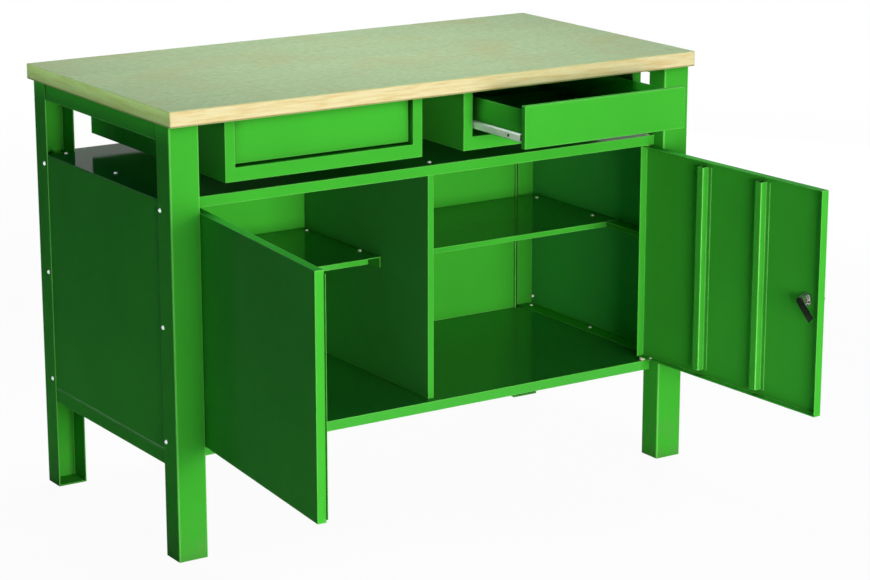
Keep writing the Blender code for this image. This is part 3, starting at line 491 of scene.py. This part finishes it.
# bolts through the deck, the cabinet floor and the shelves
sheetBoltLook = {"deck": [(0.548, 0.008), (0.548, 0.224), (-0.548, 0.008), (-0.548, 0.224)],
                 "deckMiddle": [(-0.001, -0.233), (-0.001, 0.215)],
                 "floor": [(0.565, 0.004), (0.565, 0.223), (-0.565, 0.004), (-0.565, 0.223)],
                 "floorMiddle": [(-0.001, -0.205), (-0.001, 0.215)],
                 "shelf": [(0.557, -0.009), (0.557, 0.195), (0.019, -0.005), (0.019, 0.205)],
                 "panelGauge": 0.0012, "railGauge": 0.0020, "shelfRailGauge": 0.0015}


def addSheetBolts(look):
    bolt, nut = boltBody(boltLook), nutBody(nutLook)
    up, down = (0, 0, 1), (0, 0, -1)
    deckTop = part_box("deck")[1].z
    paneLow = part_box("left_side_panel")[0].z + look["panelGauge"]
    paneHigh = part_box("left_side_panel")[1].z - look["panelGauge"]
    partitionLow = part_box("partition")[0].z + look["panelGauge"]
    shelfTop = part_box("left_shelf")[1].z
    shelf = [(side * x, y) for side in (-1, 1) for x, y in look["shelf"]]
    heads = [spread(bolt, [(x, y, deckTop) for x, y in look["deck"] + look["deckMiddle"]], up),
             spread(bolt, [(x, y, paneLow) for x, y in look["floor"]], up),
             spread(bolt, [(x, y, partitionLow) for x, y in look["floorMiddle"]], up),
             spread(bolt, [(x, y, shelfTop) for x, y in shelf], up)]
    putPiece("sheet_bolts", heads, finishes["zinc"], "bench")
    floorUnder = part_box("left_bottom_rail")[1].z - look["railGauge"]
    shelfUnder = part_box("left_outer_shelf_rail")[1].z - look["shelfRailGauge"]
    nuts = [spread(nut, [(x, y, paneHigh) for x, y in look["deck"]], down),
            spread(nut, [(x, y, floorUnder) for x, y in look["floor"]], down),
            spread(nut, [(x, y, shelfUnder) for x, y in shelf], down)]
    putPiece("sheet_nuts", nuts, finishes["zinc"], "bench")


addSheetBolts(sheetBoltLook)


# screws from below hold the top rails and the housings to the worktop
topScrewLook = {"along": (-0.19, 0.0, 0.19), "railGauge": 0.0020, "railIn": 0.018,
                "housingGauge": 0.0012, "housingIn": 0.010}


def addTopScrews(look):
    groups = []
    bolt = boltBody(boltLook)
    for side in ("left", "right"):
        low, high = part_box(side + "_top_rail")
        x = low.x + look["railIn"] if side == "left" else high.x - look["railIn"]
        groups.append(spread(bolt, [(x, y, high.z - look["railGauge"]) for y in look["along"]], (0, 0, -1)))
        low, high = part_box(side + "_drawer_housing")
        spots = [(x, y, high.z - look["housingGauge"]) for y in look["along"]
                 for x in (low.x + look["housingIn"], high.x - look["housingIn"])]
        groups.append(spread(bolt, spots, (0, 0, -1)))
    putPiece("worktop_screws", groups, finishes["zinc"], "bench")


addTopScrews(topScrewLook)


# dark screws hold each drawer's slides to its tray
slideScrewLook = {**boltLook, "washer": 0.0026, "head": 0.0024, "headHigh": 0.0009, "socket": 0.0011,
                  "socketDeep": 0.0007, "turns": 20, "dome": 4, "along": (0.036, 0.215, 0.394)}


def addSlideScrews(look):
    screw = boltBody(look)
    for side in ("left", "right"):
        groups = []
        for hand, way in (("left", -1), ("right", 1)):
            low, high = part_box(f"{side}_drawer_{hand}_slide")
            x = low.x if way < 0 else high.x
            spots = [(x, low.y + along, (low.z + high.z) / 2) for along in look["along"]]
            groups.append(spread(screw, spots, (way, 0, 0)))
        putPiece(f"{side}_slide_screws", groups, blackened, f"{side}_drawer")


addSlideScrews(slideScrewLook)


# a rivet in each door's lower and upper fold holds its pin, with its head inside the fold
hingeRivetLook = {**boltLook, "washer": 0.0034, "washerThick": 0.0006, "head": 0.0030, "headHigh": 0.0010,
                  "socket": 0.0010, "socketDeep": 0.0003, "turns": 20, "dome": 4,
                  "along": 0.025, "gauge": 0.0010}


def addHingeRivets(look):
    rivet = boltBody(look)
    for joint in frame["joints"]:
        if not joint["name"].endswith("_door_hinge"):
            continue
        x, y, _ = joint["pos_m"]
        turn = math.radians(-joint["range_deg"][0]) * joint["axis"][2]  # from shut to rest
        along = -math.copysign(look["along"], x)  # a shut door runs towards the middle
        spot = (x + along * math.cos(turn), y + along * math.sin(turn))
        low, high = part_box(joint["child"])
        groups = [spread(rivet, [(*spot, low.z + look["gauge"])], (0, 0, 1)),
                  spread(rivet, [(*spot, high.z - look["gauge"])], (0, 0, -1))]
        putPiece(joint["child"] + "_rivets", groups, finishes["zinc"], joint["child"])


addHingeRivets(hingeRivetLook)
print("bolts, nuts and screws placed")


# closed rings of points, one behind the other along a path; the first and the last ring are filled in
def stripBody(rows):
    stations, corners = rows.shape[:2]
    corner = np.arange(corners)
    caps = np.stack([corner[::-1], (stations - 1) * corners + corner])
    return rows.reshape(-1, 3), ringQuads(stations, corners), caps


# the sheet is turned inwards round a drawer opening: a flat section carried down one side, along the bottom
# and up the other side, with mitred corners
returnLook = {"stile": 0.0205, "rail": 0.0260, "thick": 0.0012, "behind": 0.0014, "depth": 0.0225}


def addOpeningReturns(look):
    groups = []
    mitre = look["thick"] * np.array([(-1, 0), (-1, -1), (1, -1), (1, 0)])
    for side in ("left", "right"):
        low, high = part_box(side + "_drawer_housing")
        left, right, bottom = low.x + look["stile"], high.x - look["stile"], low.z + look["rail"]
        inner = np.array([(left, high.z), (left, bottom), (right, bottom), (right, high.z)])
        outer = inner + mitre
        front = low.y + look["behind"]
        back = front + look["depth"]
        ring = [(outer, front), (outer, back), (inner, back), (inner, front)]
        groups.append(stripBody(np.stack([np.insert(flat, 1, y, axis=1) for flat, y in ring], 1)))
    putPiece("opening_returns", groups, finishes["green_paint"], "bench")


addOpeningReturns(returnLook)
print("drawer openings lined")


# studio: pale floor, soft light from the front, from above and from behind, and a narrow strip for the
# worktop's left end; surfaces mirror the white surround, not the lamp behind or the strip
studioLook = {"floorSize": 16.0, "floorColour": (0.64, 0.65, 0.64), "floorRough": 0.9, "floorGloss": 0.1,
              "ambient": 0.062, "cool": (0.40, 1.0, 1.70), "white": 1.0, "whiteColour": (1.0, 1.0, 1.0),
              "fade": (1.6, 4.5), "lift": (0.955, 1.0)}
lampLook = {"front": {"place": (-0.35, -4.2, -0.15), "aim": (-0.35, 0.0, -0.30), "size": (2.2, 1.1),
                      "watts": 166.0, "spread": 180, "colour": (1.05, 0.94, 0.70), "mirrored": True},
            "top": {"place": (0.4, 0.2, 3.2), "aim": (0.0, 0.0, 0.0), "size": (1.6, 1.2),
                    "watts": 9.5, "spread": 50, "colour": (1.0, 1.0, 1.0), "mirrored": True},
            "rear": {"place": (2.8, 2.2, -0.10), "aim": (0.0, 0.0, -0.40), "size": (1.4, 1.0),
                     "watts": 90.0, "spread": 180, "colour": (1.0, 1.0, 1.0), "mirrored": False},
            "strip": {"place": (-3.2, 0.0, 0.12), "aim": (-0.59, 0.0, 0.060), "size": (0.7, 0.06),
                      "watts": 0.225, "spread": 5, "colour": (0.76, 1.16, 0.57), "mirrored": False}}


# 1 for a ray straight from the camera or by way of gloss or glass, 0 for the light that falls on the bench
def seenWhite(tree):
    path = addNode(tree, "LightPath").outputs
    mirrored = sums(tree, "ADD", path["Is Glossy Ray"], path["Is Transmission Ray"])
    return sums(tree, "MINIMUM", sums(tree, "ADD", path["Is Camera Ray"], mirrored), 1.0)


def addWorld(look):
    world = bpy.data.worlds.new("studio")
    scene.world = world
    world.use_nodes = True
    tree = world.node_tree
    background = tree.nodes["Background"].inputs
    seen = seenWhite(tree)
    feed(tree, remap(tree, seen, 0.0, 1.0, look["ambient"], look["white"]), background["Strength"])
    feed(tree, blendColour(tree, seen, look["cool"], look["whiteColour"]), background["Color"])


# the floor takes the bench's shadow near it and fades to white further off
def addFloor(look):
    half = look["floorSize"] / 2
    corners = [(x * half, y * half, floorLevel) for x, y in ((-1, -1), (1, -1), (1, 1), (-1, 1))]
    mesh = bpy.data.meshes.new("floor")
    mesh.from_pydata(corners, [], [(0, 1, 2, 3)])
    floor = bpy.data.objects.new("floor", mesh)
    scene.collection.objects.link(floor)
    material, tree, shader = startMaterial("paleFloor")
    shader.inputs["Base Color"].default_value = (*look["floorColour"], 1.0)
    shader.inputs["Roughness"].default_value = look["floorRough"]
    shader.inputs["Specular IOR Level"].default_value = look["floorGloss"]
    place = addNode(tree, "TexCoord").outputs["Object"]
    flat = addNode(tree, "VectorMath", {0: place, 1: (1.0, 1.0, 0.0)}, operation="MULTIPLY").outputs[0]
    away = addNode(tree, "VectorMath", {0: flat}, operation="LENGTH").outputs["Value"]
    lift = remap(tree, away, *look["fade"], *look["lift"])
    share = sums(tree, "MULTIPLY", seenWhite(tree), lift)
    glow = addNode(tree, "Emission", {"Strength": look["white"]}).outputs[0]
    mixed = addNode(tree, "MixShader", {0: share, 1: shader.outputs[0], 2: glow}).outputs[0]
    tree.links.new(mixed, tree.nodes["Material Output"].inputs["Surface"])
    mesh.materials.append(material)


def addLamp(name, look):
    lamp = bpy.data.lights.new(name, "AREA")
    lamp.shape = "RECTANGLE"
    lamp.size, lamp.size_y = look["size"]
    lamp.energy = look["watts"]
    lamp.spread = math.radians(look["spread"])
    lamp.color = look["colour"]
    holder = bpy.data.objects.new(name, lamp)
    holder.location = look["place"]
    holder.visible_glossy = look["mirrored"]
    toward = Vector(look["aim"]) - Vector(look["place"])
    holder.rotation_euler = toward.to_track_quat("-Z", "Y").to_euler()
    scene.collection.objects.link(holder)


addWorld(studioLook)
addFloor(studioLook)
for lampName, look in lampLook.items():
    addLamp(lampName, look)
scene.view_settings.view_transform = "Standard"
print("studio ready")
